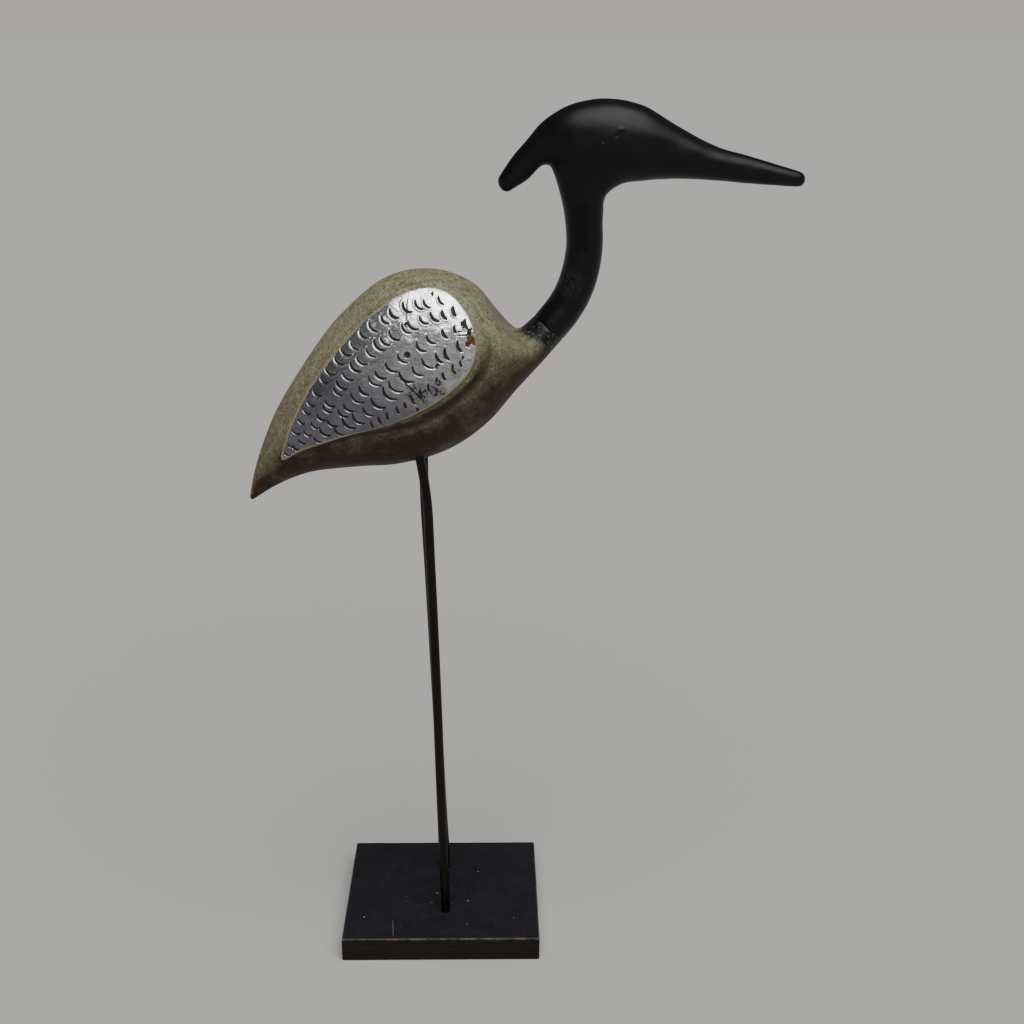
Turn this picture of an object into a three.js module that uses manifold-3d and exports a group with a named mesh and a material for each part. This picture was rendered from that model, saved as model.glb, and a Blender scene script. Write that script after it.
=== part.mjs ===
// A carved and painted wooden crane on two rod legs and a square plinth.
// Millimetres, +Z up. The origin is the middle of the plinth's underside.
// The bird looks along +X, and its right side faces -Y.
import * as THREE from 'three';
import { mergeGeometries, mergeVertices } from 'three/addons/utils/BufferGeometryUtils.js';
import Module from 'manifold-3d';

const wasm = await Module();
wasm.setup();

// Plinth
const PLINTH_SIDE = 120;
const PLINTH_HEIGHT = 15;
const PLINTH_CORNER = 1.6;
const PLINTH_EASE = 0.8;
const CORNER_SEGMENTS = 2;

// Legs: one rod each, bent by hand, from its end in the plinth to its end in the body
const LEG_DIAMETER = 5.6;
const LEG_SIDES = 12;
const LEG_STEPS = 28;
const RIGHT_LEG_POINTS = [
  [2.6, -28.2, 4.5],
  [2.3, -27.6, 18],
  [0, -23.5, 89],
  [-2.0, -19.5, 158],
  [-5.0, -14.5, 241],
  [-6.7, -12.3, 277],
  [-10.7, -10.9, 303],
  [-14.5, -10.2, 318],
];
const LEFT_LEG_POINTS = [
  [1.3, 28.2, 4.5],
  [1.1, 27.7, 18],
  [-0.9, 25.0, 64],
  [-3.6, 20.7, 136],
  [-7.2, 15.3, 228],
  [-9.0, 12.8, 270],
  [-9.4, 11.3, 297],
  [-9.6, 10.4, 318],
];

// Rings of points in each rounded end of a loft
const DOME_RINGS = 3;

// Distance under which two vertices are one
const MERGE_DISTANCE = 1e-4;

// Gap round everything that sits in or on something else
const CLEARANCE = 0.3;

// Body ribs, from the tail to the joint with the neck:
// [upper X, upper Z, lower X, lower Z, half width]
const BODY_RIBS = [
  [-112.0, 277.0, -110.0, 274.2, 1.5],
  [-107.0, 296.5, -97.5, 282.4, 7.5],
  [-96.4, 324.0, -77.0, 291.2, 16.0],
  [-79.6, 352.6, -51.0, 295.1, 25.0],
  [-56.6, 383.3, -22.0, 297.4, 32.0],
  [-29.2, 405.9, 4.0, 304.8, 34.5],
  [-2.0, 410.8, 27.0, 320.0, 33.5],
  [21.8, 401.9, 46.5, 342.3, 29.8],
  [33.4, 388.6, 57.5, 354.5, 24.3],
  [39.2, 378.6, 64.5, 362.3, 19.2],
  [46.0, 375.9, 68.8, 367.2, 16.2],
  [56.6, 384.4, 72.2, 371.2, 14.2],
];
const BODY_STEPS = 36;
const BODY_SIDES = 28;
const TAIL_DOME = 1.5;

// Neck ribs, from the joint with the body up into the head:
// [back X, back Z, front X, front Z, half width]
const NECK_RIBS = [
  [56.6, 384.4, 72.2, 371.2, 14.2],
  [65.2, 395.6, 82.0, 383.9, 12.2],
  [70.8, 408.4, 90.2, 401.0, 10.8],
  [73.6, 424.0, 94.0, 421.0, 10.2],
  [72.2, 442.4, 94.0, 441.0, 10.0],
  [69.0, 456.4, 95.8, 452.6, 10.4],
  [65.4, 466.4, 104.5, 458.8, 11.2],
  [61.5, 474.0, 114.0, 466.0, 11.6],
];
const NECK_STEPS = 22;
const NECK_SIDES = 20;

// Crest, head and beak ribs, from the crest's tip to the beak's tip:
// [upper X, upper Z, lower X, lower Z, half width]
const HEAD_RIBS = [
  [35.8, 462.6, 41.6, 454.8, 4.6],
  [42.6, 472.8, 51.4, 461.0, 6.0],
  [51.0, 482.4, 60.6, 469.2, 7.2],
  [59.6, 492.2, 68.0, 467.0, 10.0],
  [74.6, 501.4, 78.0, 462.0, 14.2],
  [94.0, 504.9, 94.0, 459.4, 16.4],
  [114.6, 501.5, 113.0, 459.9, 15.4],
  [134.6, 490.3, 131.0, 461.6, 12.4],
  [155.6, 479.6, 153.0, 461.0, 9.0],
  [178.0, 473.1, 176.0, 459.1, 6.4],
  [203.4, 465.8, 202.4, 457.3, 4.2],
];
const HEAD_STEPS = 38;
const HEAD_SIDES = 22;
const CREST_DOME = 3.6;
const BEAK_DOME = 4.8;

// Eye: a low round bump on each side of the head
const EYE_X = 101.2;
const EYE_Z = 487.6;
const EYE_DIAMETER = 6;
const EYE_Y = 12.2;
const EYE_SEGMENTS = 12;
const EYE_RINGS = 8;

// Metal sheet on the wing, its outline seen from the side as [X, Z], and the raised pad under it
const SHEET_OUTLINE = [
  [-89.9, 303.2],
  [-87.0, 316.2],
  [-74.7, 342.7],
  [-48.1, 377.6],
  [-30.8, 392.9],
  [-14.0, 400.6],
  [2.8, 401.4],
  [15.0, 392.2],
  [22.3, 377.0],
  [19.3, 359.6],
  [4.0, 343.8],
  [-22.6, 329.4],
  [-51.4, 320.4],
  [-77.6, 309.8],
];
const OUTLINE_STEPS = 64;
const PAD_HEIGHT = 2.4;
const PAD_INNER_Y = 1;
const PAD_OUTER_Y = 50;
const PAD_MARGIN = 1.3;
const SHEET_THICKNESS = 0.6;

const FINISHES = {
  blackPaint: { color: 0x16171a, roughness: 0.42, metalness: 0 },
  rodPaint: { color: 0x14120f, roughness: 0.35, metalness: 0.3 },
  greenPaint: { color: 0x6e6a4a, roughness: 0.6, metalness: 0 },
  aluminium: { color: 0xb9bcc4, roughness: 0.35, metalness: 0.9 },
};

// A closed geometry with merged vertices as a solid that can be joined and cut
function toSolid(geometry) {
  const bare = geometry.index ? geometry.toNonIndexed() : geometry.clone();
  bare.deleteAttribute('normal');
  bare.deleteAttribute('uv');
  const merged = mergeVertices(bare, MERGE_DISTANCE);
  return new wasm.Manifold(new wasm.Mesh({
    numProp: 3,
    vertProperties: new Float32Array(merged.attributes.position.array),
    triVerts: new Uint32Array(merged.index.array),
  }));
}

function toGeometry(solid) {
  const { vertProperties, triVerts, numProp } = solid.getMesh();
  const position = new Float32Array((vertProperties.length / numProp) * 3);
  for (let i = 0; i < position.length / 3; i += 1) {
    position.set(vertProperties.subarray(i * numProp, i * numProp + 3), i * 3);
  }
  const geometry = new THREE.BufferGeometry();
  geometry.setAttribute('position', new THREE.BufferAttribute(position, 3));
  geometry.setIndex(Array.from(triVerts));
  return geometry;
}

// A mesh named for its piece, in its finish
function piece(name, solid, finish) {
  const geometry = toGeometry(solid).toNonIndexed();
  geometry.computeVertexNormals();
  const mesh = new THREE.Mesh(geometry, new THREE.MeshStandardMaterial(finish));
  mesh.name = name;
  return mesh;
}

// Smooth stations along a list of ribs: middle, half height vector and half width
function stations(ribs, steps, grow) {
  const curve = (pick) => new THREE.CatmullRomCurve3(ribs.map(pick), false, 'centripetal');
  const upper = curve(([x, z]) => new THREE.Vector3(x, 0, z));
  const lower = curve(([, , x, z]) => new THREE.Vector3(x, 0, z));
  const width = curve((rib, i) => new THREE.Vector3(i, rib[4], 0));
  return Array.from({ length: steps + 1 }, (_, i) => {
    const t = i / steps;
    const top = upper.getPoint(t);
    const bottom = lower.getPoint(t);
    const half = top.clone().sub(bottom).multiplyScalar(0.5);
    half.setLength(half.length() + grow);
    return { middle: top.add(bottom).multiplyScalar(0.5), half, width: width.getPoint(t).y + grow };
  });
}

// Shrinking rings that round off an end, moved along the outward direction
function dome(end, outward, length, rings) {
  return Array.from({ length: rings }, (_, i) => {
    const angle = ((i + 1) / (rings + 1)) * (Math.PI / 2);
    const scale = Math.cos(angle);
    return {
      middle: end.middle.clone().addScaledVector(outward, length * Math.sin(angle)),
      half: end.half.clone().multiplyScalar(scale),
      width: end.width * scale,
    };
  });
}

// A closed body of oval rings from one end of the ribs to the other
function loft(ribs, steps, sides, { startDome = 0, endDome = 0, grow = 0 } = {}) {
  const line = stations(ribs, steps, grow);
  const first = line[0];
  const last = line[line.length - 1];
  const startOut = first.middle.clone().sub(line[1].middle).normalize();
  const endOut = last.middle.clone().sub(line[line.length - 2].middle).normalize();
  const startRings = startDome > 0 ? dome(first, startOut, startDome, DOME_RINGS).reverse() : [];
  const endRings = endDome > 0 ? dome(last, endOut, endDome, DOME_RINGS) : [];
  const rings = [...startRings, ...line, ...endRings];
  const points = [first.middle.clone().addScaledVector(startOut, startDome)];
  for (const { middle, half, width } of rings) {
    for (let j = 0; j < sides; j += 1) {
      const angle = (j / sides) * Math.PI * 2;
      const point = middle.clone().addScaledVector(half, Math.cos(angle));
      point.y = width * Math.sin(angle);
      points.push(point);
    }
  }
  points.push(last.middle.clone().addScaledVector(endOut, endDome));
  const at = (ring, side) => 1 + ring * sides + (side % sides);
  const index = [];
  for (let j = 0; j < sides; j += 1) {
    index.push(0, at(0, j), at(0, j + 1));
    for (let i = 0; i + 1 < rings.length; i += 1) {
      index.push(at(i, j), at(i + 1, j), at(i, j + 1));
      index.push(at(i + 1, j), at(i + 1, j + 1), at(i, j + 1));
    }
    index.push(points.length - 1, at(rings.length - 1, j + 1), at(rings.length - 1, j));
  }
  const geometry = new THREE.BufferGeometry().setFromPoints(points);
  geometry.setIndex(index);
  return toSolid(geometry);
}

// A round rod along a curve, closed at both ends
function rod(points, diameter) {
  const section = new THREE.Shape();
  section.absarc(0, 0, diameter / 2, 0, Math.PI * 2);
  const path = new THREE.CatmullRomCurve3(points.map((p) => new THREE.Vector3(...p)));
  const geometry = new THREE.ExtrudeGeometry(section, {
    curveSegments: LEG_SIDES / 2,
    steps: LEG_STEPS,
    extrudePath: path,
  });
  return toSolid(geometry);
}

// The hole for a leg: the leg's own rod, thicker and longer by the clearance
function legHole(points) {
  const longer = points.map((point) => [...point]);
  longer[0][2] -= CLEARANCE;
  longer[longer.length - 1][2] += CLEARANCE;
  return rod(longer, LEG_DIAMETER + CLEARANCE * 2);
}

const legHoles = legHole(RIGHT_LEG_POINTS).add(legHole(LEFT_LEG_POINTS));

function plinth() {
  const half = PLINTH_SIDE / 2 - PLINTH_EASE;
  const inner = half - PLINTH_CORNER;
  const outline = new THREE.Shape();
  outline.absarc(inner, inner, PLINTH_CORNER, 0, Math.PI / 2);
  outline.absarc(-inner, inner, PLINTH_CORNER, Math.PI / 2, Math.PI);
  outline.absarc(-inner, -inner, PLINTH_CORNER, Math.PI, Math.PI * 1.5);
  outline.absarc(inner, -inner, PLINTH_CORNER, Math.PI * 1.5, Math.PI * 2);
  const geometry = new THREE.ExtrudeGeometry(outline, {
    depth: PLINTH_HEIGHT - PLINTH_EASE * 2,
    curveSegments: CORNER_SEGMENTS,
    bevelThickness: PLINTH_EASE,
    bevelSize: PLINTH_EASE,
    bevelSegments: CORNER_SEGMENTS,
  });
  geometry.translate(0, 0, PLINTH_EASE);
  return toSolid(geometry).subtract(legHoles);
}

// The sheet's outline moved outwards by a margin, as points seen from the side
function wingOutline(margin) {
  const curve = new THREE.CatmullRomCurve3(
    SHEET_OUTLINE.map(([x, z]) => new THREE.Vector3(x, z, 0)),
    true,
    'centripetal',
  );
  return Array.from({ length: OUTLINE_STEPS }, (_, i) => {
    const t = i / OUTLINE_STEPS;
    const ahead = curve.getTangent(t);
    const point = curve.getPoint(t);
    return new THREE.Vector2(point.x - ahead.y * margin, point.y + ahead.x * margin);
  });
}

// A prism of the wing outline on one side, -1 for the bird's right and 1 for its left
function wingPrism(side, margin) {
  const geometry = new THREE.ExtrudeGeometry(new THREE.Shape(wingOutline(margin)), {
    depth: PAD_OUTER_Y - PAD_INNER_Y,
    bevelEnabled: false,
  });
  geometry.rotateX(Math.PI / 2);
  geometry.translate(0, side > 0 ? PAD_OUTER_Y : -PAD_INNER_Y, 0);
  return toSolid(geometry);
}

const bodyLoft = (grow) => loft(BODY_RIBS, BODY_STEPS, BODY_SIDES, { startDome: TAIL_DOME, grow });

function body() {
  const pads = bodyLoft(PAD_HEIGHT);
  return bodyLoft(0)
    .add(pads.intersect(wingPrism(-1, PAD_MARGIN)))
    .add(pads.intersect(wingPrism(1, PAD_MARGIN)))
    .subtract(legHoles);
}

function wingSheet(side) {
  const under = PAD_HEIGHT + CLEARANCE;
  return bodyLoft(under + SHEET_THICKNESS)
    .intersect(wingPrism(side, 0))
    .subtract(bodyLoft(under));
}

// The neck starts a clearance away from the body, along the line of the neck
function neckRibs() {
  const [start, next, ...rest] = NECK_RIBS;
  const alongX = next[0] + next[2] - start[0] - start[2];
  const alongZ = next[1] + next[3] - start[1] - start[3];
  const scale = CLEARANCE / Math.hypot(alongX, alongZ);
  const dx = alongX * scale;
  const dz = alongZ * scale;
  return [[start[0] + dx, start[1] + dz, start[2] + dx, start[3] + dz, start[4]], next, ...rest];
}

function eyes() {
  const eye = new THREE.SphereGeometry(EYE_DIAMETER / 2, EYE_SEGMENTS, EYE_RINGS);
  eye.translate(EYE_X, EYE_Y, EYE_Z);
  const other = eye.clone().translate(0, -2 * EYE_Y, 0);
  return toSolid(mergeGeometries([eye, other]));
}

function neckAndHead() {
  return loft(neckRibs(), NECK_STEPS, NECK_SIDES)
    .add(loft(HEAD_RIBS, HEAD_STEPS, HEAD_SIDES, { startDome: CREST_DOME, endDome: BEAK_DOME }))
    .add(eyes());
}

const group = new THREE.Group();
group.add(
  piece('base_plinth', plinth(), FINISHES.blackPaint),
  piece('leg_right', rod(RIGHT_LEG_POINTS, LEG_DIAMETER), FINISHES.rodPaint),
  piece('leg_left', rod(LEFT_LEG_POINTS, LEG_DIAMETER), FINISHES.rodPaint),
  piece('body', body(), FINISHES.greenPaint),
  piece('neck_and_head', neckAndHead(), FINISHES.blackPaint),
  piece('wing_sheet_right', wingSheet(-1), FINISHES.aluminium),
  piece('wing_sheet_left', wingSheet(1), FINISHES.aluminium),
);

export default group;
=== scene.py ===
# %% [markdown]
# # A carved wooden crane with metal wing sheets
# This notebook dresses a finished construction model. The model fixes where every piece is and how big
# it is. Here each piece gets the surface that a carver, a tinsmith and a painter gave the real one.
# The first step loads the model and puts each piece's place into its mesh.

import math
import random

import bmesh
import bpy
from mathutils import Euler, Matrix, Vector, noise
from mathutils.bvhtree import BVHTree
from mathutils.kdtree import KDTree


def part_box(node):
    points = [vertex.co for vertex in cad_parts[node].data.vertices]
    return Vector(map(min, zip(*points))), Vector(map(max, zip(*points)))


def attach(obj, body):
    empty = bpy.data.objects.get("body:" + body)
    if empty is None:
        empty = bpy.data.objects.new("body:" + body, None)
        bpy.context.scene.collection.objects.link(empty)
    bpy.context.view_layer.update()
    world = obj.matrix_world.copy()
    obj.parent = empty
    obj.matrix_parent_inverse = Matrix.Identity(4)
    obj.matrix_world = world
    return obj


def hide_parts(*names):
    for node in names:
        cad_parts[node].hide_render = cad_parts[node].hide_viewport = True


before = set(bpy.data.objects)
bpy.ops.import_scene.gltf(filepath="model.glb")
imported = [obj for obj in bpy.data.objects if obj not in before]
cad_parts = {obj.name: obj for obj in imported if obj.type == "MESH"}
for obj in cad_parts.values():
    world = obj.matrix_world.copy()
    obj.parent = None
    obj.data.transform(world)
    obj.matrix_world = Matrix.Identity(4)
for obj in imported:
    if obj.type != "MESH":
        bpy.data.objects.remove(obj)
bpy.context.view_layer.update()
MM = 0.001
print("nodes", sorted(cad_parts))

# %% [markdown]
# ## Camera
# The photograph looks slightly down on the bird from just under a metre away. The camera gets the place
# and angle that make the corners of the square plinth fall where they do in the picture. It comes first.
# The focal length is counted in pixels of the picture and turned into the millimetres of a 36 mm wide
# sensor.

# %% Camera
IMAGE_SIZE = 1024
FOCAL_PIXELS = 1600
SENSOR_MM = 36
camera_data = bpy.data.cameras.new("camera")
camera_data.sensor_width = SENSOR_MM
camera_data.lens = SENSOR_MM * FOCAL_PIXELS / IMAGE_SIZE
camera = bpy.data.objects.new("camera", camera_data)
bpy.context.scene.collection.objects.link(camera)
bpy.context.scene.camera = camera

CAMERA_PLACE = Vector((29.2, -911.5, 542.9)) * MM
PITCH = math.radians(16.878)
YAW = math.radians(0.887)
ROLL = math.radians(0.171)
look = Euler((math.pi / 2 - PITCH, 0, -YAW)).to_matrix() @ Matrix.Rotation(ROLL, 3, "Z")
camera.matrix_world = Matrix.Translation(CAMERA_PLACE) @ look.to_4x4()
print("lens", round(camera_data.lens, 2), "mm")

# %% [markdown]
# ## Helpers for shapes
# Most of the bird is carved round. Its side view is known from the photograph, so each carved form is
# described by ribs: a point on its upper outline, a point on its lower outline and half its width there.
# A smooth curve through the ribs gives as many oval rings as the surface needs. Each ring starts as a
# circle, is squashed and turned into its place, and the rings are bridged into a skin.

# %% Smooth curve through a list of rows
JUST_INSIDE = 1e-9


def catmull(rows, steps):
    """Points on a centripetal curve through the first two numbers of rows, other numbers going along."""
    rows = [Vector(row) for row in rows]
    rows = [rows[0] * 2 - rows[1], *rows, rows[-1] * 2 - rows[-2]]
    spans = len(rows) - 3
    points = []
    for i in range(steps + 1):
        place = min(i / steps * spans, spans - JUST_INSIDE)
        k = int(place)
        p0, p1, p2, p3 = rows[k:k + 4]
        d0, d1, d2 = (math.sqrt((a - b).length) for a, b in ((p1, p0), (p2, p1), (p3, p2)))
        into = ((p1 - p0) / d0 - (p2 - p0) / (d0 + d1)) * d1 + (p2 - p1)
        out = ((p3 - p2) / d2 - (p3 - p1) / (d1 + d2)) * d1 + (p2 - p1)
        f = place - k
        points.append(p1 * (2 * f**3 - 3 * f**2 + 1) + into * (f**3 - 2 * f**2 + f)
                      + p2 * (3 * f**2 - 2 * f**3) + out * (f**3 - f**2))
    return points


# %% Rings and skins
DOME_RINGS = 8


def stations(ribs, steps, grow=0.0):
    """(middle, half height vector, half width) of each ring along the ribs, in millimetres."""
    upper = catmull([rib[0:2] for rib in ribs], steps)
    lower = catmull([rib[2:4] for rib in ribs], steps)
    width = catmull([(i, rib[4]) for i, rib in enumerate(ribs)], steps)
    rings = []
    for top, bottom, wide in zip(upper, lower, width):
        half = (top - bottom) / 2
        half *= (half.length + grow) / half.length
        rings.append(((top + bottom) / 2, half, wide[1] + grow))
    return rings


def domed(rings, length):
    """The rings with a rounded end of that length after the last one."""
    middle, half, wide = rings[-1]
    out = (middle - rings[-2][0]).normalized()
    angles = [(i + 1) / (DOME_RINGS + 1) * math.pi / 2 for i in range(DOME_RINGS)]
    return rings + [(middle + out * length * math.sin(a), half * math.cos(a), wide * math.cos(a))
                    for a in angles]


def skin(bm, rings, sides):
    """Bridges one circle after another and caps both ends."""
    edges = []
    for middle, half, wide in rings:
        across = Vector((half.x, 0, half.y))
        turn = Matrix((across.normalized(), (0, 1, 0), across.normalized().cross((0, 1, 0)))).transposed()
        place = (Matrix.Translation(Vector((middle.x, 0, middle.y)) * MM) @ turn.to_4x4()
                 @ Matrix.Diagonal((half.length * MM, wide * MM, 1, 1)))
        made = bmesh.ops.create_circle(bm, cap_ends=False, segments=sides, radius=1, matrix=place)
        edges.append(list(dict.fromkeys(e for v in made["verts"] for e in v.link_edges)))
    for first, second in zip(edges, edges[1:]):
        bmesh.ops.bridge_loops(bm, edges=first + second)
    bmesh.ops.contextual_create(bm, geom=edges[0])
    bmesh.ops.contextual_create(bm, geom=edges[-1])


def finish_mesh(bm, name):
    """A smooth-shaded object made from bm, with its place in its mesh."""
    bmesh.ops.recalc_face_normals(bm, faces=bm.faces)
    mesh = bpy.data.meshes.new(name)
    bm.to_mesh(mesh)
    bm.free()
    mesh.polygons.foreach_set("use_smooth", [True] * len(mesh.polygons))
    obj = bpy.data.objects.new(name, mesh)
    bpy.context.scene.collection.objects.link(obj)
    return obj


# %% [markdown]
# ## From skins to one carved surface
# A remesh rebuilds overlapping skins as one even net of small squares, as if they were cut from the same
# block. Moving each point half way to its neighbours, round after round, is the carver's sandpaper: it
# eases every crease. The remesh works as a modifier on an object that is thrown away afterwards.

# %% Remesh and sand
def sand(bm, verts, rounds):
    """Moves each of the verts half way to the middle of its neighbours, round after round."""
    for _ in range(rounds):
        bmesh.ops.smooth_vert(bm, verts=verts, factor=0.5, use_axis_x=True, use_axis_y=True, use_axis_z=True)


def remeshed(bm, voxel_mm, rounds):
    """bm's closed skins joined into one even skin, its creases eased by rounds of smoothing."""
    shell = finish_mesh(bm, "shell")
    remesh = shell.modifiers.new("join", "REMESH")
    remesh.mode = "VOXEL"
    remesh.voxel_size = voxel_mm * MM
    evaluated = shell.evaluated_get(bpy.context.evaluated_depsgraph_get())
    joined = bmesh.new()
    joined.from_mesh(evaluated.to_mesh())
    evaluated.to_mesh_clear()
    bpy.data.objects.remove(shell)
    sand(joined, joined.verts, rounds)
    return joined


# %% [markdown]
# ## The carved body
# The body is one block of wood, carved from a pointed tail through a round back to the foot of the neck.
# A lathe or a box could never give this teardrop, so it is a skin over ribs. The ribs repeat those of the
# construction model, which keeps this finer surface in the same place. Only the hollow before the neck is
# cut a little deeper. Smoothing shrinks a form slightly, so the rings start a little too large. Each row
# is in millimetres: X and Z of the upper outline, X and Z of the lower outline, and half the width.

# %% Body ribs and skin
BODY_RIBS = [
    (-112.0, 277.0, -110.0, 274.2, 1.5),
    (-107.0, 296.5, -97.5, 282.4, 7.5),
    (-96.4, 324.0, -77.0, 291.2, 16.0),
    (-79.6, 352.6, -51.0, 295.1, 25.0),
    (-56.6, 383.3, -22.0, 297.4, 32.0),
    (-29.2, 405.9, 4.0, 304.8, 34.5),
    (-2.0, 410.8, 27.0, 320.0, 33.5),
    (21.8, 401.9, 46.5, 342.3, 29.8),
    (32.0, 388.2, 57.5, 354.5, 24.3),
    (38.0, 378.6, 64.5, 362.3, 19.2),
    (45.6, 376.0, 68.8, 367.2, 16.2),
    (56.6, 384.4, 72.2, 371.2, 14.2),
]
BODY_STEPS = 150
BODY_SIDES = 96
TAIL_DOME = 1.5


def body_rings(grow=0.0):
    """Rings of the body from the neck to the rounded tip of the tail."""
    rings = stations(BODY_RIBS, BODY_STEPS, grow)
    return domed(rings[::-1], TAIL_DOME)


# The body and the neck each run this far past their joint, so that only a fine groove shows there.
JOINT_OVERLAP = 0.7
BODY_VOXEL = 0.8
BODY_ROUNDS = 6
BODY_GROW = 0.15

rings = body_rings(BODY_GROW)
along_neck = (rings[0][0] - rings[1][0]).normalized()
rings[0] = (rings[0][0] + along_neck * JOINT_OVERLAP, *rings[0][1:])
body_bm = bmesh.new()
skin(body_bm, rings, BODY_SIDES)
body_bm = remeshed(body_bm, BODY_VOXEL, BODY_ROUNDS)
print("body skin", len(body_bm.faces), "faces")

# %% [markdown]
# ## Raised wing pads
# On each side the carver left a low raised wing for the metal to lie on. Its outline is a closed curve
# seen from the side. Each point of the body that lies inside the outline moves straight out of the
# surface, and a short slope round the outline makes the carved step.

# %% Wing outline
SHEET_OUTLINE = [
    (-89.9, 303.2),
    (-87.0, 316.2),
    (-74.7, 342.7),
    (-48.1, 377.6),
    (-30.8, 392.9),
    (-14.0, 402.0),
    (3.0, 402.8),
    (15.4, 393.0),
    (22.3, 377.0),
    (19.3, 359.6),
    (4.0, 343.8),
    (-22.6, 329.4),
    (-51.4, 320.4),
    (-77.6, 309.8),
]
OUTLINE_STEPS = 280
PAD_HEIGHT = 2.4
PAD_MARGIN = 1.3
STEP_WIDTH = 1.5


def closed_curve(points, steps):
    """A smooth closed curve through the points."""
    count = len(points)
    wrapped = points[-2:] + points + points[:3]
    dense = catmull(wrapped, (len(wrapped) - 1) * steps // count)
    span = len(dense) / (len(wrapped) - 1)
    return dense[round(2 * span):round((2 + count) * span)]


outline = closed_curve(SHEET_OUTLINE, OUTLINE_STEPS)


def outline_distance(x, z):
    """Distance in mm from (x, z) to the sheet's outline, positive inside it."""
    point = Vector((x, z))
    inside = False
    nearest = math.inf
    previous = outline[-1]
    for corner in outline:
        nearest = min(nearest, (corner - point).length_squared)
        if (corner.y > z) != (previous.y > z):
            if x < previous.x + (z - previous.y) / (corner.y - previous.y) * (corner.x - previous.x):
                inside = not inside
        previous = corner
    return math.sqrt(nearest) if inside else -math.sqrt(nearest)


def smooth_step(low, high, value):
    """0 below low, 1 above high and a smooth rise between them."""
    f = max(0.0, min(1.0, (value - low) / (high - low)))
    return f * f * (3 - 2 * f)


# %% [markdown]
# ## A map of distances
# The pads, the gouge and the sheets all ask how far a point is from the wing's outline. The answer is
# worked out once at the crossings of a square grid, and between them it is a blend of four answers.

# %% Distances to the outline on a grid
GRID_CELL = 1.0
GRID_MARGIN = 12


class OutlineGrid:
    """Looks up outline_distance between the points of a square grid."""

    def __init__(self, cell, margin):
        xs = [p.x for p in outline]
        zs = [p.y for p in outline]
        self.cell = cell
        self.x0 = min(xs) - margin
        self.z0 = min(zs) - margin
        self.columns = int((max(xs) + margin - self.x0) / cell) + 2
        self.rows = int((max(zs) + margin - self.z0) / cell) + 2
        self.values = [[outline_distance(self.x0 + i * cell, self.z0 + j * cell)
                        for i in range(self.columns)] for j in range(self.rows)]

    def __call__(self, x, z):
        u = (x - self.x0) / self.cell
        v = (z - self.z0) / self.cell
        if not (0 <= u < self.columns - 1 and 0 <= v < self.rows - 1):
            return -math.inf
        i, j = int(u), int(v)
        fu, fv = u - i, v - j
        low, high = self.values[j], self.values[j + 1]
        return ((low[i] * (1 - fu) + low[i + 1] * fu) * (1 - fv)
                + (high[i] * (1 - fu) + high[i + 1] * fu) * fv)


wing_distance = OutlineGrid(GRID_CELL, GRID_MARGIN)
print("outline grid", wing_distance.columns, "by", wing_distance.rows)

# %% [markdown]
# ## Step, gouge and knife
# Towards the shoulder the pad reaches further out from under the metal and its slope is long and soft. A
# gouge has left a shallow valley along its foot there, and the knife has left the whole body slightly
# uneven. These are heights over the skin, so each point moves along its normal by their sum, which keeps
# them real relief that also shows in the outline.

# %% The pad's slope
SHOULDER_MARGIN = 4.6
SHOULDER_STEP = 4.2
BROADENING = (-42, 12)
BROADENING_LEAN = 0.35
BROADENING_Z = 350


def pad_rise(x, z):
    """How much of its height the pad has at a point of the side view, from 0 to 1."""
    broad = smooth_step(*BROADENING, x - BROADENING_LEAN * (z - BROADENING_Z))
    margin = PAD_MARGIN + (SHOULDER_MARGIN - PAD_MARGIN) * broad
    step = STEP_WIDTH + (SHOULDER_STEP - STEP_WIDTH) * broad
    return smooth_step(-margin - step / 2, -margin + step / 2, wing_distance(x, z))


# %% The gouge and the knife
GOUGE_OUT = 7.8
GOUGE_WIDTH = 2.0
GOUGE_DEPTH = 0.55
GOUGE_REACH = 8.0
GOUGE_STARTS_X = (-34, -8)
GOUGE_ENDS_Z = (364, 386)
KNIFE_SIZE = 14
KNIFE_DEPTH = 0.22


def bell(value, width):
    """1 at a value of 0, falling to nothing on both sides over about two widths."""
    return math.exp(-((value / width) ** 2))


def gouge_cut(x, z):
    """How deep the gouge ran at a point beside the pad, from 0 to 1. It cut under the wing's front half."""
    out = -wing_distance(x, z) - GOUGE_OUT
    there = smooth_step(*GOUGE_STARTS_X, x) * (1 - smooth_step(*GOUGE_ENDS_Z, z))
    return bell(out, GOUGE_WIDTH) * there if abs(out) < GOUGE_REACH else 0.0


def knife_marks(point, size, depth):
    """Low, wide unevenness of a surface carved and sanded by hand, in metres."""
    return noise.noise(point / (size * MM)) * depth * MM


# %% Raise the pads
# The paint reads this layer, the depth of the gouge, to paint shade into its valley.
SANDING_ROUNDS = 3

body_bm.normal_update()
gouge_and_shade = body_bm.verts.layers.float.new("gouge_and_shade")
moves = []
for vert in body_bm.verts:
    x, z = vert.co.x / MM, vert.co.z / MM
    vert[gouge_and_shade] = gouge_cut(x, z)
    rise = pad_rise(x, z) * PAD_HEIGHT - vert[gouge_and_shade] * GOUGE_DEPTH
    moves.append(vert.normal * (rise * MM + knife_marks(vert.co, KNIFE_SIZE, KNIFE_DEPTH)))
for vert, move in zip(body_bm.verts, moves):
    vert.co += move
sand(body_bm, body_bm.verts, SANDING_ROUNDS)
body = finish_mesh(body_bm, "carved_body")
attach(body, "root")
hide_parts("body")
print("body", len(body.data.polygons), "faces")

# %% [markdown]
# ## Neck, head, crest and beak
# These are one piece of wood. The crest, the head and the beak are one long skin, and the neck is a
# second one that flares into it. The carver rounded the two corners between them, at the nape and at the
# throat, so the skins are joined by a remesh and the corners eased by smoothing.

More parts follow.
